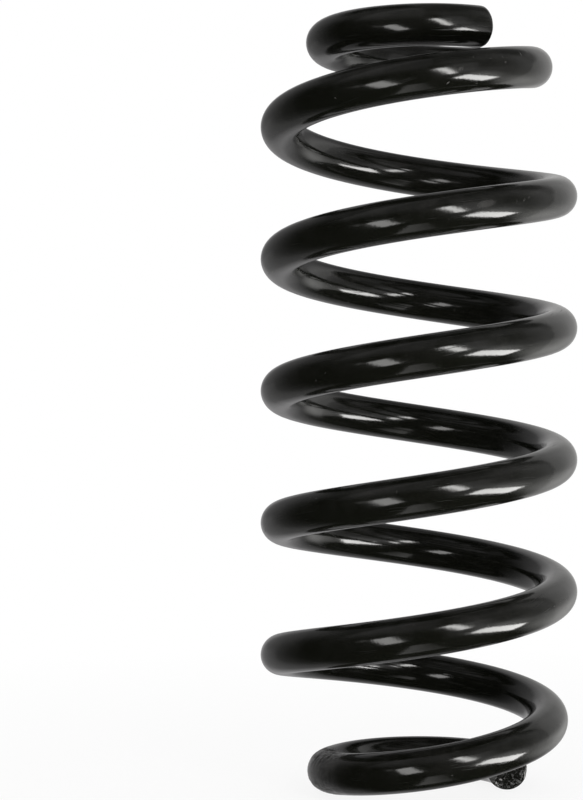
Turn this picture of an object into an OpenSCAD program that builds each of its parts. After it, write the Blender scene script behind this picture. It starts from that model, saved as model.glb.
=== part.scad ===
// Coil spring for a vehicle's suspension, wound right-handed from one length of round wire.
// The full-size turns in the middle close down at each end to a smaller coil that sits in a pad.
// The axis is +Z, the spring stands on z = 0, and its lower cut end lies on the +X side.

/* [Wire] */
// Diameter of the wire with its coating
wire_d = 14; // [11:0.5:17]
// Edge break round each cut end
end_break = 0.6; // [0.3:0.1:1.2]

/* [Body] */
// Mean diameter of the full-size turns
body_mean_d = 95.2; // [86:0.4:114]
// Height of the unloaded spring
free_length = 266.6; // [240:0.2:320]
// Turns of wire from one cut end to the other
total_turns = 6.86; // [6.2:0.02:7.6]

/* [Upper end] */
// Mean diameter of the upper end coil
upper_mean_d = 64; // [56:0.4:76]
// Turns of wire that keep that diameter
upper_coil_turns = 0.69; // [0.4:0.01:0.9]
// Turns in which the wire spirals out to the body
upper_spiral_turns = 0.42; // [0.3:0.01:0.8]
// Turns of wire that lie in the upper seat
upper_seat_turns = 0.44; // [0.3:0.01:0.6]
// Rise of the upper seat in one turn
upper_seat_pitch = 4.8; // [0:0.2:8]
// Turns in which the upper seat opens to the full pitch
upper_opening_turns = 0.61; // [0.4:0.01:0.8]

/* [Lower end] */
// Mean diameter of the lower end coil
lower_mean_d = 60.8; // [56:0.4:76]
// Turns of wire that keep that diameter
lower_coil_turns = 0.38; // [0.3:0.01:0.6]
// Turns in which the wire spirals out to the body
lower_spiral_turns = 0.85; // [0.6:0.01:1]
// Turns of wire that lie in the lower seat
lower_seat_turns = 0.41; // [0.3:0.01:0.6]
// Rise of the lower seat in one turn
lower_seat_pitch = 0; // [0:0.2:8]
// Turns in which the lower seat opens to the full pitch
lower_opening_turns = 0.43; // [0.3:0.01:0.8]

/* [Smoothness] */
// Sides of the wire's section
wire_sides = 20; // [12:2:20]
// Sections of wire in each turn
sections_per_turn = 40; // [24:2:42]

/* [Hidden] */

wire_r = wire_d / 2;
body_r = body_mean_d / 2;
upper_r = upper_mean_d / 2;
lower_r = lower_mean_d / 2;

// Turns of full pitch that each end gives up to its seat and its opening
upper_lost_turns = upper_seat_turns + upper_opening_turns / 2;
lower_lost_turns = lower_seat_turns + lower_opening_turns / 2;

// Pitch of the body that brings the wire to the free length
wire_rise = free_length - wire_d;
seat_rise = upper_seat_pitch * upper_lost_turns + lower_seat_pitch * lower_lost_turns;
body_pitch = (wire_rise - seat_rise) / (total_turns - upper_lost_turns - lower_lost_turns);

// Length of wire in the edge breaks, in turns of the end coils
upper_break_turns = end_break / (2 * PI * upper_r);
lower_break_turns = end_break / (2 * PI * lower_r);

coating = "#141414";

// 0 before the start of a blend, 1 after its end, and smooth in between
function blend(t) =
    let (u = min(max(t, 0), 1))
    u * u * (3 - 2 * u);

// Turns of pitch lost by turn t, counted from an end with this seat and opening
function lost_turns(t, seat, opening) =
    let (past = min(max(t - seat, 0), opening))
    min(t, seat + opening) - past * past / (2 * opening);

// Radius of the wire's centre line at turn t from the lower end
function coil_radius(t) =
    let (
        from_lower = blend((t - lower_coil_turns) / lower_spiral_turns),
        from_upper = blend((total_turns - t - upper_coil_turns) / upper_spiral_turns)
    )
    body_r - (body_r - lower_r) * (1 - from_lower) - (body_r - upper_r) * (1 - from_upper);

// Height of the wire's centre line at turn t from the lower end
function coil_height(t) =
    let (
        lower_lost = lost_turns(t, lower_seat_turns, lower_opening_turns),
        upper_ahead = lost_turns(total_turns - t, upper_seat_turns, upper_opening_turns)
    )
    wire_r + body_pitch * t
        - (body_pitch - lower_seat_pitch) * lower_lost
        - (body_pitch - upper_seat_pitch) * (upper_lost_turns - upper_ahead);

function centre_line(t) =
    [coil_radius(t) * cos(360 * t), coil_radius(t) * sin(360 * t), coil_height(t)];

function unit(v) = v / norm(v);

// Direction of the wire at turn t, from two points close by on its centre line
function wire_direction(t, near = 0.0005) =
    unit(centre_line(t + near) - centre_line(t - near));

// One section of the wire, square to it, with the first point on the outside of the coil
function section(t, r) =
    let (
        along = wire_direction(t),
        outward = unit(cross(along, [0, 0, 1])),
        upward = cross(outward, along)
    )
    [
        for (side = [0 : wire_sides - 1])
            let (a = 360 * side / wire_sides)
            centre_line(t) + r * (cos(a) * outward + sin(a) * upward)
    ];

// The coiled wire, skinned from its lower cut end to its upper one
module coil() {
    steps = ceil(sections_per_turn * total_turns);
    step = (total_turns - lower_break_turns - upper_break_turns) / steps;
    sections = [
        section(0, wire_r - end_break),
        for (i = [0 : steps]) section(lower_break_turns + i * step, wire_r),
        section(total_turns, wire_r - end_break)
    ];
    last = len(sections) - 1;
    skin = [
        for (i = [0 : last - 1])
            for (side = [0 : wire_sides - 1])
                let (
                    a = i * wire_sides + side,
                    b = i * wire_sides + (side + 1) % wire_sides,
                    c = b + wire_sides,
                    d = a + wire_sides
                )
                each [[a, d, c], [a, c, b]]
    ];
    lower_face = [for (side = [0 : wire_sides - 1]) side];
    upper_face = [for (side = [wire_sides - 1 : -1 : 0]) last * wire_sides + side];
    color(coating)
        polyhedron([for (points = sections) each points], concat([lower_face], skin, [upper_face]));
}

coil();
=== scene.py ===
"""Gloss black coil spring for a vehicle's suspension, standing in a pale studio. Metres, +Z up."""
import math
import random

import bpy
import numpy as np
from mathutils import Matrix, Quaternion, Vector


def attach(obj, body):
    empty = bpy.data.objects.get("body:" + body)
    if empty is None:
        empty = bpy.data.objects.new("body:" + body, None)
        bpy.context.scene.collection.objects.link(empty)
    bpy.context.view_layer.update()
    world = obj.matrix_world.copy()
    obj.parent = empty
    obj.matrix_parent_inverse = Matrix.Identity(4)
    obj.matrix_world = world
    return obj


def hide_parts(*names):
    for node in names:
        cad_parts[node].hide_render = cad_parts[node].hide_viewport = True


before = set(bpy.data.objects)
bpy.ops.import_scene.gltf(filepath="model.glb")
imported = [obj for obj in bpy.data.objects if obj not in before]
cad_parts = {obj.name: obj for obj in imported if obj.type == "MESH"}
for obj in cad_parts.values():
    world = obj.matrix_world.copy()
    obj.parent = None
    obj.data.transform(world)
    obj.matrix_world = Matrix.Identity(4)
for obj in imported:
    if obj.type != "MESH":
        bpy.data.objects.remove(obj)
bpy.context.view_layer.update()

MM = 0.001

# Sizes of the wire and its coils, in millimetres, as in the part's source. An end's coil, spiral, seat and
# opening are in turns, and its pitch is that of the seat.
WIRE_R = 7.0
EDGE_BREAK = 0.6
FREE_LENGTH = 266.6
TOTAL_TURNS = 6.86
BODY_R = 47.6
UPPER = {"radius": 32.0, "coil": 0.69, "spiral": 0.42, "seat": 0.44, "opening": 0.61, "pitch": 4.8}
LOWER = {"radius": 30.4, "coil": 0.38, "spiral": 0.85, "seat": 0.41, "opening": 0.43, "pitch": 0.0}

# Fineness of the skin: sides round the wire, rings in a turn and in a cut face, places of the rings next to
# each end in millimetres, and the points by which the wire's length is measured
SIDES = 48
RINGS_PER_TURN = 200
FACE_RINGS = 10
END_STEPS = (0.0, 0.08, 0.25, EDGE_BREAK, 0.9, 1.3, 1.8, 2.4, 3.1)
LENGTH_POINTS = 4000

# The stretch of the lower coil that the bending tool held: where it starts and ends, and over how much its
# dents set in, all in turns, and the space between its rings in millimetres
HELD_TURNS = (0.49, 0.62)
HELD_EDGE = 0.02
HELD_RING = 0.2

# Small folds across the lower coil where the bending tool held it: turn, angle up from the outward side
# and its half span in degrees, depth and half width in millimetres. A fold with a negative depth stands
# proud. The depth varies round the wire by the share FOLD_UNEVEN.
FOLDS = (
    (0.507, 74.0, 34.0, 0.10, 0.35),
    (0.511, 84.0, 26.0, -0.26, 0.45),
    (0.516, 84.0, 28.0, 0.30, 0.40),
    (0.524, 96.0, 24.0, -0.26, 0.42),
    (0.530, 96.0, 26.0, 0.28, 0.40),
    (0.538, 104.0, 22.0, -0.24, 0.42),
    (0.543, 100.0, 24.0, 0.20, 0.38),
    (0.549, 60.0, 30.0, 0.10, 0.35),
    (0.557, 52.0, 34.0, -0.06, 0.40),
    (0.563, 50.0, 34.0, 0.24, 0.36),
    (0.574, 44.0, 34.0, 0.08, 0.34),
    (0.588, 50.0, 36.0, 0.30, 0.40),
    (0.594, 50.0, 32.0, -0.08, 0.42),
    (0.603, 40.0, 28.0, 0.07, 0.36),
)
FOLD_UNEVEN = 1.2

# Small dents that the same tool pressed into both flanks of the wire: their depth in millimetres, the angle
# between the flanks that stays smooth, how far from it in degrees the dents start and end, the degrees over
# which they do so, and the rings from one row of dents to the next
DENT = 0.12
DENT_MIDDLE = 12.0
DENT_SPAN = (18.0, 115.0)
DENT_EDGES = (14.0, 20.0)
DENT_RINGS = 3

# Sheared end faces: depth of their tears and of the shear's step, the step's slope, place and width across
# the face, and the share of the radius at the rim over which both fade out
FACE_TEAR = 0.16
FACE_STEP = 0.30
STEP_SLOPE = 0.5
STEP_PLACE = 1.5
STEP_WIDTH = 2.0
RIM_FADE = 0.12

# Rims of the cuts: the least and most share of the edge break along a rim, and where the shear pinched it,
# in the columns of FOLDS
RIM_SHARES = (0.15, 0.95)
PINCHES = (
    (0.0, -10.0, 14.0, 0.70, 0.8),
    (0.0, 168.0, 60.0, 0.60, 1.1),
    (TOTAL_TURNS, 30.0, 60.0, 0.30, 0.8),
    (TOTAL_TURNS, 110.0, 40.0, 0.22, 0.7),
)

# Handling marks in the coat: turn and angle of the middle, half length and half width in millimetres, lean
# from the wire's direction in degrees, and how light the mark is
MARKS = (
    (5.776, -32.5, 0.75, 0.16, 50.0, 0.50),
    (5.805, -43.0, 0.22, 0.18, 0.0, 0.45),
    (5.864, 34.0, 1.10, 0.14, 84.0, 0.30),
    (5.789, 2.0, 1.00, 0.70, 20.0, 0.10),
    (5.838, 11.0, 0.35, 0.25, 30.0, 0.30),
    (5.822, 24.0, 0.60, 0.12, 15.0, 0.22),
    (4.859, 8.0, 0.90, 0.20, 40.0, 0.22),
    (4.866, 14.0, 0.40, 0.26, 10.0, 0.20),
    (4.850, 7.0, 0.70, 0.14, 75.0, 0.16),
    (4.816, 9.0, 3.80, 1.50, 8.0, 0.13),
    (3.655, -8.0, 0.45, 0.10, 40.0, 0.25),
    (2.730, 22.0, 0.70, 0.10, 75.0, 0.22),
    (1.905, 10.0, 0.60, 0.12, 25.0, 0.22),
    (0.790, -20.0, 0.30, 0.20, 0.0, 0.30),
)

# Painted glints on the lower cut face: spots of light steel grey in the coat's colour, shaped like chips that
# show the bare steel, which stand in for where the face catches a lamp.
# Place and half size in millimetres, with x from the spring's axis and z from its foot, and lean in degrees.
# The value after them is their half size along y.
GLINT_SPOTS = (
    (28.3, 3.5, 0.70, 0.34, 20.0),
    (27.1, 2.2, 0.42, 0.24, -35.0),
)
GLINT_REACH = 2.0

# Colours of the coat, of dust, and of the painted glints on the cut face, in the grey of bare steel
BLACK = (0.0025, 0.0027, 0.0018, 1.0)
DUST_GREY = (0.16, 0.155, 0.15, 1.0)
GLINT_STEEL = (0.40, 0.39, 0.38, 1.0)

# The coat: how strongly it reflects, the values of its noise at its glossiest and its dullest patches, its
# roughness there and what wear adds to it, the height of its waves in metres, and its film of dust with what
# the held stretch adds to it
COAT_IOR = 1.5
COAT_PATCHES = (0.3, 0.7)
COAT_ROUGH = (0.105, 0.15)
WEAR_ROUGH = 0.3
WAVE_HEIGHT = 0.00008
COAT_DUST = 0.06
HELD_DUST = 0.16

# Cuts in the coat: the depth of a full cut in metres, the shares of it that marks, rubs and pits take, how
# light a mark shows, and the heights of the pits between which dust catches in them, with how much
CUT_DEPTH = 0.00005
MARK_CUT = 1.6
RUB_CUT = 0.05
PIT_CUT = 9.0
MARK_LIGHT = 0.9
PIT_CATCH = (0.50, 0.64)
PIT_DUST = 0.3

# Finish of the held stretch, in metres: how far outside it the finish starts and how far inside it is whole,
# the middle between its two pitted bands round the wire, and how far from there a band starts, is whole,
# begins to end and ends
HELD_FADE = (0.004, 0.002)
PIT_MIDDLE = 0.0015
PIT_BAND = (0.003, 0.006, 0.012, 0.015)

# The cut faces' coat: the share of the tears in its height, that height in metres, its roughness and what
# wear adds to it
TEAR_SHARE = 0.6
FACE_HEIGHT = 0.00025
FACE_ROUGH = 0.13
FACE_WEAR = 0.2

# Camera, fitted to the photograph: picture size in pixels, distance and eye level in metres, focal length
# and the picture's axis in pixels, and the sensor's width
PHOTO_SIZE = (583, 800)
CAMERA_DISTANCE = 0.7685
EYE_LEVEL = 0.1333
FOCAL_PX = 2223.3
AXIS_PX = (419.0, 404.3)
SENSOR_MM = 36.0

# Studio: tints of the lamps and of the room, the world's light on surfaces, and the point that lamps look at
WHITE = (1.0, 1.0, 1.0, 1.0)
LAMP_COLOUR = (1.012, 1.004, 0.984)
ROOM_COLOUR = (1.012, 1.0, 1.01)
ROOM_LIGHT = 0.8
AIM = (0.0, 0.0, EYE_LEVEL)

# Floor: its side, its colour, the share of plain white that it shows under the spring, and the distances
# between which that share grows whole
FLOOR_SIDE = 12.0
FLOOR_COLOUR = (0.9, 0.9, 0.9, 1.0)
FLOOR_WHITE = 0.88
FLOOR_FADE = (0.15, 0.45)

# Tone of backdrop and floor on the lamps' side, how far towards the back a direction points where it starts
# to turn white and where it is white, and the distances between which the floor takes its direction's tone
PALE_SIDE = 0.80
PALE_TURN = (0.2, 0.8)
PALE_FADE = (0.2, 0.9)

# Cards: one that faces up in front of the spring and a strip on its right, both below the floor, and one
# close on its right that faces SIDE_WAY
LOW_CARD = Vector((0.175, -0.80, EYE_LEVEL - 1.2))
LOW_STRIP = Vector((0.674, 0.329, EYE_LEVEL - 0.38))
SIDE_CARD = Vector((0.312, 0.151, 0.175))
SIDE_WAY = Vector((0.208, -0.978, 0.0))

# Tent round the set: radius, rows and columns of its mesh, and its level, then its soft panels: middle
# azimuth, half width, side edge, bottom, top and end edge in degrees, and level
TENT_RADIUS = 3.0
TENT_GRID = (24, 48)
TENT_LEVEL = 0.01
PANELS = (
    (60.0, 16.0, 28.0, -6.0, 38.0, 12.0, 0.30),
    (337.0, 20.0, 50.0, -58.0, 40.0, 14.0, 0.23),
    (350.0, 6.0, 10.0, -50.0, 40.0, 24.0, 0.13),
    (330.0, 16.0, 14.0, -56.0, -6.0, 10.0, 0.08),
    (10.0, 12.0, 16.0, -64.0, -24.0, 14.0, 0.14),
    (114.0, 38.0, 14.0, 0.0, 50.0, 26.0, 0.17),
    (124.0, 14.0, 24.0, -14.0, 2.0, 18.0, 0.25),
    (141.0, 6.0, 12.0, 6.0, 32.0, 12.0, 0.35),
    (85.0, 90.0, 5.0, 50.0, 88.0, 10.0, 0.09),
    (214.0, 36.0, 6.0, 50.0, 86.0, 32.0, 0.22),
    (262.0, 24.0, 30.0, 52.0, 86.0, 28.0, 0.12),
)


# The wire's path


def blend(t):
    """0 before the start of a blend, 1 after its end, and smooth in between."""
    u = np.clip(t, 0.0, 1.0)
    return u * u * (3.0 - 2.0 * u)


def lost_turns(t, end):
    """Turns of full pitch that an end's seat and opening have taken by turn t from that end."""
    past = np.clip(t - end["seat"], 0.0, end["opening"])
    return np.minimum(t, end["seat"] + end["opening"]) - past**2 / (2.0 * end["opening"])


UPPER_LOST = UPPER["seat"] + UPPER["opening"] / 2.0
LOWER_LOST = LOWER["seat"] + LOWER["opening"] / 2.0
SEAT_RISE = UPPER["pitch"] * UPPER_LOST + LOWER["pitch"] * LOWER_LOST
BODY_PITCH = (FREE_LENGTH - 2 * WIRE_R - SEAT_RISE) / (TOTAL_TURNS - UPPER_LOST - LOWER_LOST)


def coil_radius(t):
    """Distance of the wire's centre from the axis at turn t."""
    from_lower = blend((t - LOWER["coil"]) / LOWER["spiral"])
    from_upper = blend((TOTAL_TURNS - t - UPPER["coil"]) / UPPER["spiral"])
    lower_drop = (BODY_R - LOWER["radius"]) * (1.0 - from_lower)
    upper_drop = (BODY_R - UPPER["radius"]) * (1.0 - from_upper)
    return BODY_R - lower_drop - upper_drop


def coil_height(t):
    """Height of the wire's centre at turn t."""
    lower_lost = lost_turns(t, LOWER)
    upper_lost = UPPER_LOST - lost_turns(TOTAL_TURNS - t, UPPER)
    rise = BODY_PITCH * t
    rise = rise - (BODY_PITCH - LOWER["pitch"]) * lower_lost
    rise = rise - (BODY_PITCH - UPPER["pitch"]) * upper_lost
    return WIRE_R + rise


def centre_line(t):
    angle = 2.0 * math.pi * t
    radius = coil_radius(t)
    return np.column_stack([radius * np.cos(angle), radius * np.sin(angle), coil_height(t)])


def unit(v):
    return v / np.linalg.norm(v, axis=-1, keepdims=True)


def wire_frame(t, near=0.0005):
    """Centre, direction, outward and upward of the wire at each turn t."""
    along = unit(centre_line(t + near) - centre_line(t - near))
    outward = unit(np.cross(along, [0.0, 0.0, 1.0]))
    return centre_line(t), along, outward, np.cross(outward, along)


def wire_length(turns):
    """Length along the wire's centre at each turn, in millimetres."""
    fine = np.linspace(0.0, TOTAL_TURNS, LENGTH_POINTS)
    steps = np.linalg.norm(np.diff(centre_line(fine), axis=0), axis=1)
    return np.interp(turns, fine, np.concatenate([[0.0], np.cumsum(steps)]))


# The coil's mesh


def new_object(name, points, faces):
    """An object in the scene with a mesh of these points, in metres, and faces."""
    mesh = bpy.data.meshes.new(name)
    mesh.from_pydata(points, [], faces)
    made = bpy.data.objects.new(name, mesh)
    bpy.context.scene.collection.objects.link(made)
    return made


def ring_turns():
    """Turns at which the skin has a ring: evenly spaced, and closer at the ends and the held stretch."""
    lower_end = np.array(END_STEPS) / (2.0 * math.pi * LOWER["radius"])
    upper_end = TOTAL_TURNS - np.array(END_STEPS) / (2.0 * math.pi * UPPER["radius"])
    even = np.linspace(0.0, TOTAL_TURNS, math.ceil(RINGS_PER_TURN * TOTAL_TURNS) + 1)
    first, last = HELD_TURNS
    close_steps = math.ceil((last - first) * 2.0 * math.pi * LOWER["radius"] / HELD_RING)
    close = np.linspace(first, last, close_steps + 1)
    ends = (even <= lower_end[-1]) | (even >= upper_end[-1])
    even = even[~ends & ((even < first) | (even > last))]
    return np.sort(np.concatenate([lower_end, even, close, upper_end]))


def ragged(count, low, high):
    """Uneven values round a ring, each drawn towards its neighbours."""
    raw = [random.uniform(low, high) for _ in range(count)]
    return np.array([(raw[i - 1] + 2.0 * raw[i] + raw[(i + 1) % count]) / 4.0 for i in range(count)])


def fold_depth(length, angle, folds, uneven=0.0):
    """Depth of the folds below the round wire, at each ring and side. It varies by the share uneven."""
    depth = np.zeros((len(length), len(angle)))
    for turn, middle, span, deep, width in folds:
        along = (length - wire_length(turn)) / width
        across = (np.degrees(angle) - middle + 180.0) % 360.0 - 180.0
        reach = (1.0 - blend(np.abs(across) / span)) * ragged(len(angle), 1.0 - uneven, 1.0 + uneven)
        depth += deep * np.exp(-(along[:, None] ** 2)) * reach[None, :]
    return depth


def tool_dents(turns, angle):
    """Depth of the dents in the stretch that the bending tool held, at each ring and side."""
    off = np.abs(np.degrees(angle) - DENT_MIDDLE)
    flanks = blend((off - DENT_SPAN[0]) / DENT_EDGES[0]) * blend((DENT_SPAN[1] - off) / DENT_EDGES[1])
    first, last = HELD_TURNS
    held = blend((turns - first) / HELD_EDGE) * blend((last - turns) / HELD_EDGE)
    rows = len(turns) // DENT_RINGS + 2
    rough = np.array([[random.uniform(-DENT, DENT) for _ in angle] for _ in range(rows)])
    row = np.arange(len(turns)) / DENT_RINGS
    lower = row.astype(int)
    share = (row - lower)[:, None]
    return (rough[lower] * (1.0 - share) + rough[lower + 1] * share) * held[:, None] * flanks[None, :]


def edge_break(length):
    """How far the rounded rim of each cut lies below the wire's surface, at each ring and side."""
    whole = length[-1]
    below = np.zeros((len(length), SIDES))
    for from_end in (length, whole - length):
        rim = ragged(SIDES, *RIM_SHARES)
        near = from_end < EDGE_BREAK
        run = 1.0 - from_end[near] / EDGE_BREAK
        below[near] = EDGE_BREAK * (1.0 - np.sqrt(1.0 - run**2))[:, None] * rim[None, :]
    return below


def torn_depth(x, y, reach):
    """Depth of one point of a sheared face: a step across it and small tears, none at the rim."""
    step = FACE_STEP * blend((STEP_SLOPE * x - y + STEP_PLACE) / STEP_WIDTH)
    return (step + random.uniform(0.0, FACE_TEAR)) * blend((1.0 - reach) / RIM_FADE)


def skin_faces(length):
    """Faces of the skin between its rings, and the wire coordinates of their corners."""
    around = WIRE_R * np.linspace(-math.pi, math.pi, SIDES + 1)
    faces, corner_uv = [], []
    for i in range(len(length) - 1):
        start, stop = length[i], length[i + 1]
        for side in range(SIDES):
            p = i * SIDES + side
            q = i * SIDES + (side + 1) % SIDES
            faces.append((p, p + SIDES, q + SIDES, q))
            low, high = around[side], around[side + 1]
            corner_uv += [(start, low), (stop, low), (stop, high), (start, high)]
    return faces, corner_uv


def sheared_face(rim, centre, inward, outward, upward, first, count):
    """Points and faces of one cut face, ring by ring from the wire's rim to its centre. first is the number
    of the rim's first point, and count that of the first new point."""
    points, faces = [], []
    before = list(range(first, first + SIDES))
    for k in range(1, FACE_RINGS + 1):
        reach = 1.0 - k / FACE_RINGS
        now = []
        for side in range(SIDES if k < FACE_RINGS else 1):
            spoke = reach * (rim[side] - centre)
            now.append(count + len(points))
            points.append(centre + spoke + torn_depth(spoke @ outward, spoke @ upward, reach) * inward)
        for side in range(SIDES):
            p, q = before[side], before[(side + 1) % SIDES]
            r, s = now[(side + 1) % len(now)], now[side % len(now)]
            faces.append((p, q, s) if len(now) == 1 else (p, q, r, s))
        before = now
    return points, faces


def coil_piece():
    """The coated wire, skinned from its lower cut end to its upper one, with both cut faces."""
    turns = ring_turns()
    length = wire_length(turns)
    centre, along, outward, upward = wire_frame(turns)
    a = np.linspace(-math.pi, math.pi, SIDES, endpoint=False)
    spokes = np.cos(a)[None, :, None] * outward[:, None, :] + np.sin(a)[None, :, None] * upward[:, None, :]
    depth = fold_depth(length, a, FOLDS, FOLD_UNEVEN) + fold_depth(length, a, PINCHES)
    depth += tool_dents(turns, a) + edge_break(length)
    rings = centre[:, None, :] + (WIRE_R - depth)[..., None] * spokes
    points = list(rings.reshape(-1, 3))
    faces, corner_uv = skin_faces(length)
    slots = [0] * len(faces)
    last = len(turns) - 1
    for end, inward in ((0, along[0]), (last, -along[last])):
        at_end = (rings[end], centre[end], inward, outward[end], upward[end])
        new_points, new_faces = sheared_face(*at_end, end * SIDES, len(points))
        points += new_points
        faces += new_faces if end == 0 else [tuple(reversed(face)) for face in new_faces]
        slots += [1] * len(new_faces)
        corner_uv += [(length[end], 0.0)] * sum(len(face) for face in new_faces)
    piece = new_object("coil_wire", (np.array(points) * MM).tolist(), faces)
    mesh = piece.data
    mesh.polygons.foreach_set("material_index", slots)
    mesh.polygons.foreach_set("use_smooth", [True] * len(faces))
    layer = mesh.uv_layers.new(name="wire")
    layer.uv.foreach_set("vector", (np.array(corner_uv) * MM).astype(np.float32).ravel())
    mesh.update()
    return piece


# Shader nodes


def new_group(name, inputs, outputs):
    """An empty shader node group with named sockets; inputs are (name, kind, value)."""
    group = bpy.data.node_groups.new(name, "ShaderNodeTree")
    for socket, kind, value in inputs:
        made = group.interface.new_socket(socket, in_out="INPUT", socket_type=kind)
        made.default_value = value
    for socket, kind in outputs:
        group.interface.new_socket(socket, in_out="OUTPUT", socket_type=kind)
    return group, group.nodes.new("NodeGroupInput"), group.nodes.new("NodeGroupOutput")


def empty_tree(owner):
    """The node tree of a material or world, with nothing in it."""
    owner.use_nodes = True
    owner.node_tree.nodes.clear()
    return owner.node_tree


def add(tree, kind, links=None, **values):
    """A node in tree; links maps a socket's name or number to the socket or value that feeds it."""
    node = tree.nodes.new(kind)
    for key, value in values.items():
        setattr(node, key, value)
    for key, source in (links or {}).items():
        if isinstance(source, bpy.types.NodeSocket):
            tree.links.new(source, node.inputs[key])
        else:
            node.inputs[key].default_value = source
    return node


def grouped(tree, group, links):
    """The output of a node group that is placed in tree."""
    return add(tree, "ShaderNodeGroup", links, node_tree=group).outputs[0]


def math_node(tree, operation, a, b=0.0, c=0.0):
    return add(tree, "ShaderNodeMath", {0: a, 1: b, 2: c}, operation=operation).outputs[0]


def ramp(tree, value, low, high, to_low=0.0, to_high=1.0, curve="LINEAR"):
    """value taken from low..high to to_low..to_high, held at both ends."""
    links = {"Value": value, "From Min": low, "From Max": high, "To Min": to_low, "To Max": to_high}
    return add(tree, "ShaderNodeMapRange", links, clamp=True, interpolation_type=curve).outputs[0]


def part_of(tree, vector, axis):
    """The x, y or z of a vector, by its number."""
    return add(tree, "ShaderNodeSeparateXYZ", {0: vector}).outputs[axis]


# Node groups


def coat_waves():
    """Height of the slow waves and orange peel that a sprayed coat dries with."""
    inputs = (
        ("Vector", "NodeSocketVector", (0.0, 0.0, 0.0)),
        ("Peel Size", "NodeSocketFloat", 0.004),
        ("Wave Size", "NodeSocketFloat", 0.02),
        ("Wave Share", "NodeSocketFloat", 0.5),
    )
    group, given, out = new_group("coat_waves", inputs, (("Height", "NodeSocketFloat"),))
    take = given.outputs
    per_peel = math_node(group, "DIVIDE", 1.0, take["Peel Size"])
    per_wave = math_node(group, "DIVIDE", 1.0, take["Wave Size"])
    peel = add(group, "ShaderNodeTexNoise", {"Vector": take["Vector"], "Scale": per_peel, "Detail": 1.5})
    wave = add(group, "ShaderNodeTexNoise", {"Vector": take["Vector"], "Scale": per_wave, "Detail": 1.0})
    mixed = add(group, "ShaderNodeMix", {0: take["Wave Share"], 2: peel.outputs[0], 3: wave.outputs[0]})
    group.links.new(mixed.outputs[0], out.inputs["Height"])
    return group


def dust():
    """Mask of fine dust: thin patches, thickest where the coat faces up, and a few bright specks."""
    facing_up = (-0.4, 0.8)
    least_settled = 0.1
    patch_edge = (0.45, 0.75)
    speck_edge = (0.10, 0.24)
    few_cells = (0.975, 0.99)
    inputs = (
        ("Vector", "NodeSocketVector", (0.0, 0.0, 0.0)),
        ("Up", "NodeSocketFloat", 1.0),
        ("Film", "NodeSocketFloat", 0.1),
        ("Specks", "NodeSocketFloat", 0.5),
        ("Speck Size", "NodeSocketFloat", 0.0012),
    )
    group, given, out = new_group("dust", inputs, (("Mask", "NodeSocketFloat"),))
    take = given.outputs
    links = {"Vector": take["Vector"], "Scale": 60.0, "Detail": 8.0, "Roughness": 0.7}
    patches = add(group, "ShaderNodeTexNoise", links)
    settled = ramp(group, take["Up"], *facing_up, least_settled, 1.0)
    cover = math_node(group, "MULTIPLY", ramp(group, patches.outputs[0], *patch_edge), settled)
    film = math_node(group, "MULTIPLY", cover, take["Film"])
    per_speck = math_node(group, "DIVIDE", 1.0, take["Speck Size"])
    cells = add(group, "ShaderNodeTexVoronoi", {"Vector": take["Vector"], "Scale": per_speck})
    spot = ramp(group, cells.outputs["Distance"], *speck_edge, 1.0, 0.0)
    picked = add(group, "ShaderNodeSeparateColor", {0: cells.outputs["Color"]}).outputs[0]
    chosen = ramp(group, picked, *few_cells)
    specks = math_node(group, "MULTIPLY", math_node(group, "MULTIPLY", spot, chosen), take["Specks"])
    group.links.new(math_node(group, "MAXIMUM", film, specks), out.inputs["Mask"])
    return group


def rubs():
    """Mask of fine handling scratches that lie along the wire, in wire coordinates."""
    drift_reach = 0.006
    bare_edge = 0.80
    cover_reach = 0.3
    softness = 0.06
    inputs = (
        ("Vector", "NodeSocketVector", (0.0, 0.0, 0.0)),
        ("Length", "NodeSocketFloat", 0.012),
        ("Width", "NodeSocketFloat", 0.00025),
        ("Cover", "NodeSocketFloat", 0.1),
    )
    group, given, out = new_group("rubs", inputs, (("Mask", "NodeSocketFloat"),))
    take = given.outputs
    parts = add(group, "ShaderNodeSeparateXYZ", {0: take["Vector"]}).outputs
    slow = add(group, "ShaderNodeTexNoise", {"Vector": take["Vector"], "Scale": 60.0, "Detail": 1.0})
    drift = math_node(group, "MULTIPLY", slow.outputs[0], drift_reach)
    along = math_node(group, "DIVIDE", parts[0], take["Length"])
    across = math_node(group, "DIVIDE", math_node(group, "ADD", parts[1], drift), take["Width"])
    place = add(group, "ShaderNodeCombineXYZ", {0: along, 1: across})
    lines = add(group, "ShaderNodeTexNoise", {"Vector": place.outputs[0], "Scale": 1.0, "Detail": 0.0})
    edge = math_node(group, "SUBTRACT", bare_edge, math_node(group, "MULTIPLY", take["Cover"], cover_reach))
    mask = ramp(group, math_node(group, "SUBTRACT", lines.outputs[0], edge), 0.0, softness)
    group.links.new(mask, out.inputs["Mask"])
    return group


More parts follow.
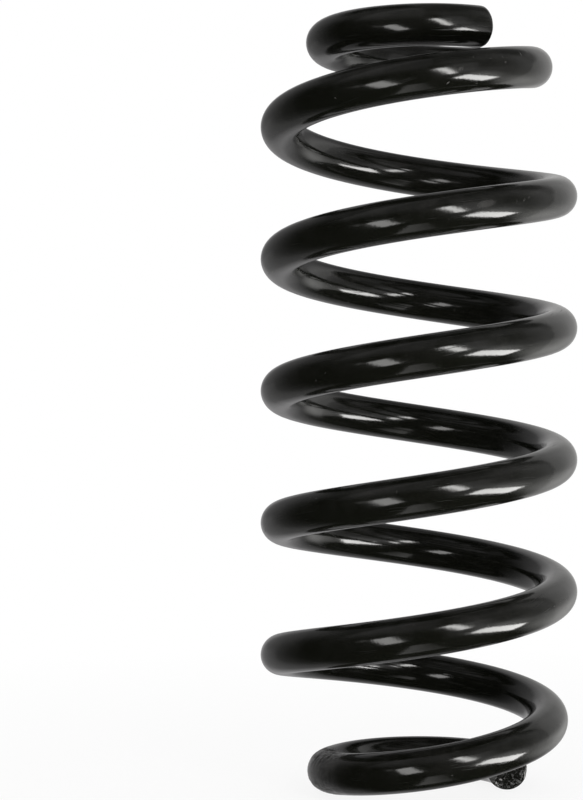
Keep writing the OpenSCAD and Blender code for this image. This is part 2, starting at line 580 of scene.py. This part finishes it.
def facets():
    """Normal of a broken surface: each grain leans its own way."""
    inputs = (
        ("Vector", "NodeSocketVector", (0.0, 0.0, 0.0)),
        ("Normal", "NodeSocketVector", (0.0, 0.0, 1.0)),
        ("Grain Size", "NodeSocketFloat", 0.0006),
        ("Lean", "NodeSocketFloat", 0.5),
    )
    group, given, out = new_group("facets", inputs, (("Normal", "NodeSocketVector"),))
    take = given.outputs
    per_grain = math_node(group, "DIVIDE", 1.0, take["Grain Size"])
    grains = add(group, "ShaderNodeTexVoronoi", {"Vector": take["Vector"], "Scale": per_grain})
    links = {0: grains.outputs["Color"], 1: (0.5, 0.5, 0.5)}
    centred = add(group, "ShaderNodeVectorMath", links, operation="SUBTRACT").outputs[0]
    links = {0: centred, "Scale": take["Lean"]}
    lean = add(group, "ShaderNodeVectorMath", links, operation="SCALE").outputs[0]
    tilted = add(group, "ShaderNodeVectorMath", {0: take["Normal"], 1: lean}, operation="ADD").outputs[0]
    normal = add(group, "ShaderNodeVectorMath", {0: tilted}, operation="NORMALIZE").outputs[0]
    group.links.new(normal, out.inputs["Normal"])
    return group


def scuff():
    """Mask of one small mark with a broken outline, in the coordinates that it is given."""
    broken_by = 0.9
    solid_to = 0.55
    inputs = (
        ("Vector", "NodeSocketVector", (0.0, 0.0, 0.0)),
        ("Place", "NodeSocketVector", (0.0, 0.0, 0.0)),
        ("Lean", "NodeSocketVector", (0.0, 0.0, 0.0)),
        ("Half Size", "NodeSocketVector", (0.001, 0.001, 1.0)),
        ("Strength", "NodeSocketFloat", 0.5),
    )
    group, given, out = new_group("scuff", inputs, (("Mask", "NodeSocketFloat"),))
    take = given.outputs
    links = {"Vector": take["Vector"], "Location": take["Place"], "Rotation": take["Lean"]}
    links["Scale"] = take["Half Size"]
    local = add(group, "ShaderNodeMapping", links, vector_type="TEXTURE").outputs[0]
    broken = add(group, "ShaderNodeTexNoise", {"Vector": take["Vector"], "Scale": 3000.0, "Detail": 2.0})
    away = add(group, "ShaderNodeVectorMath", {0: local}, operation="LENGTH").outputs["Value"]
    inner = math_node(group, "SUBTRACT", away, broken_by / 2.0)
    uneven = math_node(group, "MULTIPLY_ADD", broken.outputs[0], broken_by, inner)
    mask = ramp(group, uneven, 1.0, solid_to)
    group.links.new(math_node(group, "MULTIPLY", mask, take["Strength"]), out.inputs["Mask"])
    return group


# Materials


def coat_material(name):
    """A material with the coat's shader, and its tree."""
    material = bpy.data.materials.new(name)
    tree = empty_tree(material)
    shader = tree.nodes.new("ShaderNodeBsdfPrincipled")
    shader.inputs["IOR"].default_value = COAT_IOR
    out = tree.nodes.new("ShaderNodeOutputMaterial")
    tree.links.new(shader.outputs[0], out.inputs[0])
    return material, tree, shader


def marked(tree, wire, group):
    """Every handling mark of MARKS, as one mask."""
    total = 0.0
    for turn, angle, half_length, half_width, lean, strength in MARKS:
        links = {
            "Vector": wire,
            "Place": (float(wire_length(turn)) * MM, WIRE_R * math.radians(angle) * MM, 0.0),
            "Lean": (0.0, 0.0, math.radians(lean)),
            "Half Size": (half_length * MM, half_width * MM, 1.0),
            "Strength": strength,
        }
        total = math_node(tree, "MAXIMUM", grouped(tree, group, links), total)
    return total


def painted_glints(tree, place, group):
    """Both painted glints of the cut face, as one mask."""
    total = 0.0
    for x, z, half_width, half_height, lean in GLINT_SPOTS:
        links = {
            "Vector": place,
            "Place": (x * MM, 0.0, z * MM),
            "Lean": (0.0, math.radians(lean), 0.0),
            "Half Size": (half_width * MM, GLINT_REACH * MM, half_height * MM),
            "Strength": 1.0,
        }
        total = math_node(tree, "MAXIMUM", grouped(tree, group, links), total)
    return total


def held_stretch(tree, wire):
    """1 on the stretch of the lower coil that the bending tool held, and 0 off it."""
    length = part_of(tree, wire, 0)
    start, end = (float(wire_length(turn)) * MM for turn in HELD_TURNS)
    before, after = HELD_FADE
    inside = ramp(tree, length, start - before, start + after)
    before_end = ramp(tree, length, end + before, end - after)
    return math_node(tree, "MULTIPLY", inside, before_end)


def tool_lines(tree, wire, scratched):
    """Fine lines across the wire, as the bending tool left them."""
    parts = add(tree, "ShaderNodeSeparateXYZ", {0: wire}).outputs
    turned = add(tree, "ShaderNodeCombineXYZ", {0: parts[1], 1: parts[0]}).outputs[0]
    return grouped(tree, scratched, {"Vector": turned, "Length": 0.005, "Width": 0.00045, "Cover": 1.0})


def tool_pits(tree, place, wire):
    """Height of the rough bands that the bending tool pressed into both flanks of the wire."""
    start, whole, ending, end = PIT_BAND
    off = math_node(tree, "ABSOLUTE", math_node(tree, "SUBTRACT", part_of(tree, wire, 1), PIT_MIDDLE))
    grain = add(tree, "ShaderNodeTexNoise", {"Vector": place, "Scale": 1000.0, "Detail": 1.5})
    band = math_node(tree, "MULTIPLY", ramp(tree, off, start, whole), ramp(tree, off, end, ending))
    return math_node(tree, "MULTIPLY", grain.outputs[0], band)


def gloss_black(waves, dusty, scratched, marking):
    """Black gloss coat on the wire: orange peel, settled dust, light rubs and a few handling marks."""
    material, tree, shader = coat_material("gloss_black_coat")
    place = add(tree, "ShaderNodeTexCoord").outputs["Object"]
    wire = add(tree, "ShaderNodeUVMap", uv_map="wire").outputs[0]
    up = part_of(tree, add(tree, "ShaderNodeNewGeometry").outputs["Normal"], 2)
    links = {"Vector": place, "Peel Size": 0.0011, "Wave Size": 0.008, "Wave Share": 0.8}
    height = grouped(tree, waves, links)
    held = held_stretch(tree, wire)
    film = math_node(tree, "MULTIPLY_ADD", held, HELD_DUST, COAT_DUST)
    links = {"Vector": place, "Up": up, "Film": film, "Specks": 0.14, "Speck Size": 0.0016}
    dirt = grouped(tree, dusty, links)
    rub = grouped(tree, scratched, {"Vector": wire, "Length": 0.014, "Width": 0.0003, "Cover": 0.1})
    lines = math_node(tree, "MULTIPLY", tool_lines(tree, wire, scratched), held)
    scuffed = marked(tree, wire, marking)
    pits = math_node(tree, "MULTIPLY", tool_pits(tree, place, wire), held)

    caught = math_node(tree, "MULTIPLY", ramp(tree, pits, *PIT_CATCH), PIT_DUST)
    dusted = math_node(tree, "MAXIMUM", dirt, caught)
    light = math_node(tree, "MAXIMUM", dusted, math_node(tree, "MULTIPLY", scuffed, MARK_LIGHT))
    colour = add(tree, "ShaderNodeMix", {0: light, 6: BLACK, 7: DUST_GREY}, data_type="RGBA").outputs[2]
    clean = add(tree, "ShaderNodeTexNoise", {"Vector": place, "Scale": 90.0, "Detail": 3.0})
    gloss = ramp(tree, clean.outputs[0], *COAT_PATCHES, *COAT_ROUGH)
    worn = math_node(tree, "MAXIMUM", math_node(tree, "MAXIMUM", dirt, rub), scuffed)
    rough = math_node(tree, "MULTIPLY_ADD", worn, WEAR_ROUGH, gloss)

    bump = add(tree, "ShaderNodeBump", {"Height": height, "Strength": 1.0, "Distance": WAVE_HEIGHT})
    fine_cut = math_node(tree, "MULTIPLY_ADD", rub, RUB_CUT, math_node(tree, "MULTIPLY", pits, PIT_CUT))
    deepest = math_node(tree, "MAXIMUM", scuffed, lines)
    cut = math_node(tree, "MULTIPLY_ADD", deepest, MARK_CUT, fine_cut)
    links = {"Height": cut, "Strength": 1.0, "Distance": CUT_DEPTH, "Normal": bump.outputs[0]}
    cuts = add(tree, "ShaderNodeBump", links, invert=True)
    tree.links.new(colour, shader.inputs["Base Color"])
    tree.links.new(rough, shader.inputs["Roughness"])
    tree.links.new(cuts.outputs[0], shader.inputs["Normal"])
    return material


def cut_face(waves, dusty, scratched, marking):
    """The sheared end under the same coat: torn in fine ridges, with dust held in it, and with two painted
    glints, light steel-grey spots like chips in the coat.
    """
    material, tree, shader = coat_material("coated_cut_face")
    place = add(tree, "ShaderNodeTexCoord").outputs["Object"]
    links = {"Vector": place, "Scale": 700.0, "Detail": 5.0, "Roughness": 0.6}
    tear = add(tree, "ShaderNodeTexNoise", links)
    links = {"Vector": place, "Peel Size": 0.0012, "Wave Size": 0.004, "Wave Share": 0.5}
    swell = grouped(tree, waves, links)
    height = math_node(tree, "MULTIPLY_ADD", tear.outputs[0], TEAR_SHARE, swell)
    links = {"Vector": place, "Film": COAT_DUST, "Specks": 0.5, "Speck Size": 0.0009}
    dirt = grouped(tree, dusty, links)
    rub = grouped(tree, scratched, {"Vector": place, "Length": 0.004, "Width": 0.0003, "Cover": 0.4})
    coat = add(tree, "ShaderNodeMix", {0: dirt, 6: BLACK, 7: DUST_GREY}, data_type="RGBA").outputs[2]
    # Painted glints: two light steel-grey spots, like chips down to bare steel, mixed into the face's colour
    glints = painted_glints(tree, place, marking)
    colour = add(tree, "ShaderNodeMix", {0: glints, 6: coat, 7: GLINT_STEEL}, data_type="RGBA").outputs[2]
    worn = math_node(tree, "MAXIMUM", dirt, rub)
    rough = math_node(tree, "MULTIPLY_ADD", worn, FACE_WEAR, FACE_ROUGH)
    bump = add(tree, "ShaderNodeBump", {"Height": height, "Strength": 1.0, "Distance": FACE_HEIGHT})
    grains = {"Vector": place, "Normal": bump.outputs[0], "Grain Size": 0.0011, "Lean": 0.38}
    broken = grouped(tree, facets(), grains)
    tree.links.new(colour, shader.inputs["Base Color"])
    tree.links.new(rough, shader.inputs["Roughness"])
    tree.links.new(broken, shader.inputs["Normal"])
    return material


# Studio


def towards(azimuth, elevation, distance, base=AIM):
    """A point at distance from base. Azimuth 0 is behind the spring and 90 on its right, in degrees."""
    a, e = math.radians(azimuth), math.radians(elevation)
    way = Vector((math.sin(a) * math.cos(e), math.cos(a) * math.cos(e), math.sin(e)))
    return Vector(base) + way * distance


def facing(obj, roll, target):
    """Turns obj so that its +Z looks at target, then rolls it by that many degrees."""
    turn = (Vector(target) - obj.location).to_track_quat("Z", "Y")
    obj.rotation_euler = (turn @ Quaternion((0.0, 0.0, 1.0), math.radians(roll))).to_euler()


def plane(name, width, depth):
    w, d = width / 2.0, depth / 2.0
    made = new_object(name, [(-w, -d, 0.0), (w, -d, 0.0), (w, d, 0.0), (-w, d, 0.0)], [(0, 1, 2, 3)])
    return made


def glow_material(name, colour, strength, sheer=False):
    """A material that only shines. strength is a function that makes its value in the material's tree.
    A sheer one adds its light to whatever lies behind it."""
    material = bpy.data.materials.new(name)
    tree = empty_tree(material)
    shown = add(tree, "ShaderNodeEmission", {"Color": (*colour, 1.0), "Strength": strength(tree)}).outputs[0]
    if sheer:
        behind = add(tree, "ShaderNodeBsdfTransparent").outputs[0]
        shown = add(tree, "ShaderNodeAddShader", {0: shown, 1: behind}).outputs[0]
    out = tree.nodes.new("ShaderNodeOutputMaterial")
    tree.links.new(shown, out.inputs[0])
    return material


def hidden_from_camera(obj):
    obj.visible_camera = False
    obj.visible_transmission = False
    obj.visible_shadow = False


def softbox(name, place, size, roll, level, edges, lights=True, lean=0.0, target=AIM, sheer=False):
    """A softbox or card that looks at target. level is its radiance, where 1 shows as white, edges are
    the shares of its half width and half height over which it grows dimmer, and lean is the share by
    which its right edge is brighter than its middle. Without lights, only reflections see it. A sheer
    one adds its light to whatever lies behind it."""
    made = plane(name, *size)
    made.location = place
    facing(made, roll, target)

    def strength(tree):
        spot = add(tree, "ShaderNodeTexCoord").outputs["Object"]
        parts = add(tree, "ShaderNodeSeparateXYZ", {0: spot}).outputs
        total = math_node(tree, "MULTIPLY_ADD", parts[0], level * lean / (size[0] / 2.0), level)
        for axis in (0, 1):
            off = math_node(tree, "ABSOLUTE", parts[axis])
            half = size[axis] / 2.0
            soft = ramp(tree, off, half, half * (1.0 - edges[axis]), curve="SMOOTHSTEP")
            total = math_node(tree, "MULTIPLY", soft, total)
        back = add(tree, "ShaderNodeNewGeometry").outputs["Backfacing"]
        return math_node(tree, "MULTIPLY", total, math_node(tree, "SUBTRACT", 1.0, back))

    made.data.materials.append(glow_material(name, LAMP_COLOUR, strength, sheer))
    hidden_from_camera(made)
    made.visible_diffuse = lights


def lamps():
    """The softboxes that light the set, and the cards that only show in the coat. What stands below the
    floor works through it, because the floor casts no shadow and shows in no reflection."""
    right_box, right_halo = towards(118.4, -24.9, 0.70), towards(117.5, -17.5, 0.73)
    high_box = towards(156.9, 16.0, 0.60)
    left_box, left_gap = towards(202.3, -6.3, 0.52), towards(221.5, 5.0, 0.60)
    softbox("right_softbox", right_box, (0.61, 0.222), roll=22.0, level=15.8, edges=(0.22, 0.24))
    softbox(
        "right_halo",
        right_halo,
        (0.86, 0.60),
        roll=22.0,
        level=1.35,
        edges=(0.9, 0.9),
        lights=False,
        sheer=True,
    )
    softbox("high_softbox", high_box, (0.155, 0.44), roll=-24.0, level=13.4, edges=(0.9, 0.34))
    softbox("left_softbox", left_box, (0.15, 0.35), roll=-24.0, level=4.9, edges=(0.34, 0.26))
    softbox("left_gap", left_gap, (0.07, 0.13), roll=-25.0, level=0.6, edges=(0.5, 0.5), lights=False)
    softbox(
        "low_strip",
        LOW_STRIP,
        (1.38, 0.84),
        roll=0.0,
        level=1.15,
        edges=(0.88, 0.92),
        lights=False,
        target=(0.0, 0.0, LOW_STRIP.z),
        sheer=True,
    )
    softbox(
        "side_card",
        SIDE_CARD,
        (0.64, 0.50),
        roll=0.0,
        level=0.40,
        edges=(0.22, 0.3),
        lights=False,
        target=SIDE_CARD + SIDE_WAY,
        sheer=True,
    )
    softbox(
        "low_card",
        LOW_CARD,
        (0.43, 1.36),
        roll=0.0,
        level=0.66,
        edges=(0.10, 0.12),
        lights=False,
        lean=0.75,
        target=LOW_CARD + Vector((0.0, 0.0, 1.0)),
    )


def soft_panel():
    """Brightness of a soft-edged panel of the tent, by azimuth and elevation in degrees."""
    inputs = (
        ("Azimuth", "NodeSocketFloat", 0.0),
        ("Elevation", "NodeSocketFloat", 0.0),
        ("Middle", "NodeSocketFloat", 0.0),
        ("Half Width", "NodeSocketFloat", 20.0),
        ("Side Edge", "NodeSocketFloat", 10.0),
        ("Bottom", "NodeSocketFloat", -20.0),
        ("Top", "NodeSocketFloat", 20.0),
        ("End Edge", "NodeSocketFloat", 10.0),
        ("Level", "NodeSocketFloat", 1.0),
    )
    group, given, out = new_group("soft_panel", inputs, (("Brightness", "NodeSocketFloat"),))
    take = given.outputs

    def soft_step(value, start, edge):
        """1 up to start, and 0 from start plus edge on."""
        end = math_node(group, "ADD", start, edge)
        return ramp(group, value, end, start, curve="SMOOTHSTEP")

    off = math_node(group, "SUBTRACT", take["Azimuth"], take["Middle"])
    wrapped = math_node(group, "WRAP", off, 180.0, -180.0)
    side = soft_step(math_node(group, "ABSOLUTE", wrapped), take["Half Width"], take["Side Edge"])
    over = soft_step(take["Elevation"], take["Top"], take["End Edge"])
    below = math_node(group, "MULTIPLY", take["Elevation"], -1.0)
    under = soft_step(below, math_node(group, "MULTIPLY", take["Bottom"], -1.0), take["End Edge"])
    ends = math_node(group, "MULTIPLY", over, under)
    whole = math_node(group, "MULTIPLY", math_node(group, "MULTIPLY", side, ends), take["Level"])
    group.links.new(whole, out.inputs["Brightness"])
    return group


def tent():
    """A dim dome round the set that only reflections see, with the soft panels of PANELS."""
    rows, columns = TENT_GRID
    points, faces = [], []
    for i in range(rows + 1):
        for j in range(columns):
            way = towards(360.0 * j / columns, -90.0 + 180.0 * i / rows, TENT_RADIUS, (0.0, 0.0, 0.0))
            points.append(tuple(way))
    for i in range(rows):
        for j in range(columns):
            k = (j + 1) % columns
            faces.append((i * columns + j, i * columns + k, (i + 1) * columns + k, (i + 1) * columns + j))
    made = new_object("tent", points, faces)
    made.location = AIM

    def strength(tree):
        place = add(tree, "ShaderNodeTexCoord").outputs["Object"]
        way = add(tree, "ShaderNodeVectorMath", {0: place}, operation="NORMALIZE").outputs[0]
        parts = add(tree, "ShaderNodeSeparateXYZ", {0: way}).outputs
        azimuth = math_node(tree, "DEGREES", math_node(tree, "ARCTAN2", parts[0], parts[1]))
        elevation = math_node(tree, "DEGREES", math_node(tree, "ARCSINE", parts[2]))
        group = soft_panel()
        names = ("Middle", "Half Width", "Side Edge", "Bottom", "Top", "End Edge", "Level")
        total = TENT_LEVEL
        for panel in PANELS:
            links = {"Azimuth": azimuth, "Elevation": elevation, **dict(zip(names, panel))}
            total = math_node(tree, "ADD", total, grouped(tree, group, links))
        return total

    made.data.materials.append(glow_material("tent", ROOM_COLOUR, strength))
    hidden_from_camera(made)
    made.visible_diffuse = False


def seen_directly(tree):
    """1 for rays from the camera, and for those that gloss and glass send on."""
    path = add(tree, "ShaderNodeLightPath").outputs
    seen = math_node(tree, "MAXIMUM", path["Is Camera Ray"], path["Is Glossy Ray"])
    return math_node(tree, "MAXIMUM", seen, path["Is Transmission Ray"])


def backdrop_tone(tree, way):
    """White behind the spring and pale grey on the lamps' side, by the direction in which a point lies."""
    return ramp(tree, part_of(tree, way, 1), *PALE_TURN, PALE_SIDE, 1.0, curve="SMOOTHSTEP")


def white_world():
    """A backdrop in its own tones, which lights surfaces more dimly."""
    world = bpy.data.worlds.new("studio")
    bpy.context.scene.world = world
    tree = empty_tree(world)
    tone = backdrop_tone(tree, add(tree, "ShaderNodeTexCoord").outputs["Generated"])
    above = math_node(tree, "SUBTRACT", tone, ROOM_LIGHT)
    strength = math_node(tree, "MULTIPLY_ADD", seen_directly(tree), above, ROOM_LIGHT)
    sky = add(tree, "ShaderNodeBackground", {"Color": WHITE, "Strength": strength})
    out = tree.nodes.new("ShaderNodeOutputWorld")
    tree.links.new(sky.outputs[0], out.inputs[0])


def floor():
    """Pale floor that keeps the spring's shadow, and that lamps and reflections pass through."""
    made = plane("floor", FLOOR_SIDE, FLOOR_SIDE)
    material = bpy.data.materials.new("pale_floor")
    tree = empty_tree(material)
    lit = add(tree, "ShaderNodeBsdfDiffuse", {"Color": FLOOR_COLOUR})
    place = add(tree, "ShaderNodeTexCoord").outputs["Object"]
    away = add(tree, "ShaderNodeVectorMath", {0: place}, operation="LENGTH").outputs["Value"]
    way = add(tree, "ShaderNodeVectorMath", {0: place}, operation="NORMALIZE").outputs[0]
    tone = backdrop_tone(tree, way)
    faded = ramp(tree, away, *PALE_FADE, 1.0, tone, curve="SMOOTHSTEP")
    white = add(tree, "ShaderNodeEmission", {"Color": WHITE, "Strength": faded})
    white_share = ramp(tree, away, *FLOOR_FADE, FLOOR_WHITE, 1.0)
    share = math_node(tree, "MULTIPLY", seen_directly(tree), white_share)
    mixed = add(tree, "ShaderNodeMixShader", {0: share, 1: lit.outputs[0], 2: white.outputs[0]})
    out = tree.nodes.new("ShaderNodeOutputMaterial")
    tree.links.new(mixed.outputs[0], out.inputs[0])
    made.data.materials.append(material)
    made.visible_glossy = False
    made.visible_shadow = False


def camera():
    data = bpy.data.cameras.new("camera")
    made = bpy.data.objects.new("camera", data)
    bpy.context.scene.collection.objects.link(made)
    bpy.context.scene.camera = made
    made.location = (0.0, -CAMERA_DISTANCE, EYE_LEVEL)
    made.rotation_euler = (math.pi / 2.0, 0.0, 0.0)
    long_side = max(PHOTO_SIZE)
    data.sensor_width = SENSOR_MM
    data.lens = FOCAL_PX / long_side * SENSOR_MM
    data.shift_x = (PHOTO_SIZE[0] / 2.0 - AXIS_PX[0]) / long_side
    data.shift_y = (AXIS_PX[1] - PHOTO_SIZE[1] / 2.0) / long_side
    data.clip_start = 0.01
    data.clip_end = 50.0


random.seed(7)
bpy.context.scene.view_settings.view_transform = "Standard"
camera()
white_world()
floor()
lamps()
tent()

waves, dusty, scratched, marking = coat_waves(), dust(), rubs(), scuff()
coil = coil_piece()
coil.data.materials.append(gloss_black(waves, dusty, scratched, marking))
coil.data.materials.append(cut_face(waves, dusty, scratched, marking))
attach(coil, "root")
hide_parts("coil")
